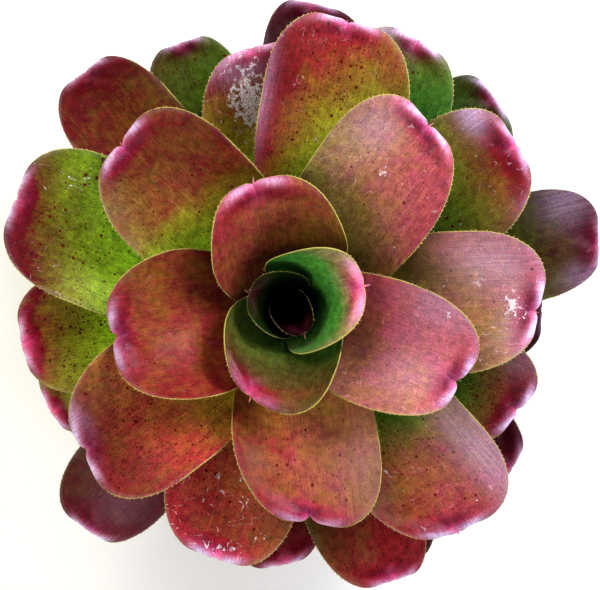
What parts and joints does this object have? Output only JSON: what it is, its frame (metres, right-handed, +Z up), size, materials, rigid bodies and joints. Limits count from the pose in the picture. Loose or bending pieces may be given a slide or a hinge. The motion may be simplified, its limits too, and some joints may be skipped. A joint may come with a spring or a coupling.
{
  "type": "neoregelia bromeliad",
  "caption": "Flat bromeliad rosette of broad, notched strap leaves spiralling round a deep central cup on a short cut stem; a decorative plant for display.",
  "frame": {"origin": "centre of the stem's flat cut face, on the surface that the plant rests on", "axes": "+Z up along the axis of the rosette; azimuth 0 is +X, counter-clockwise seen from above"},
  "size_m": [0.3987, 0.4029, 0.1797],
  "materials": {
    "leaf": "satin, slightly waxy leaf skin, rose and brown over green",
    "stem": "dull, fibrous, brown"
  },
  "bodies": {
    "root": {"leaf_01": "leaf", "leaf_02": "leaf", "leaf_03": "leaf", "leaf_04": "leaf", "leaf_05": "leaf", "leaf_06": "leaf", "leaf_07": "leaf", "leaf_08": "leaf", "leaf_09": "leaf", "leaf_10": "leaf", "leaf_11": "leaf", "leaf_12": "leaf", "leaf_13": "leaf", "leaf_14": "leaf", "leaf_15": "leaf", "leaf_16": "leaf", "leaf_17": "leaf", "leaf_18": "leaf", "leaf_19": "leaf", "leaf_20": "leaf", "leaf_21": "leaf", "leaf_22": "leaf", "leaf_23": "leaf", "leaf_24": "leaf", "leaf_25": "leaf", "leaf_26": "leaf", "leaf_27": "leaf", "leaf_28": "leaf", "leaf_29": "leaf", "leaf_30": "leaf", "leaf_31": "leaf", "leaf_32": "leaf", "leaf_33": "leaf", "leaf_34": "leaf", "stem": "stem"}
  },
  "joints": []
}
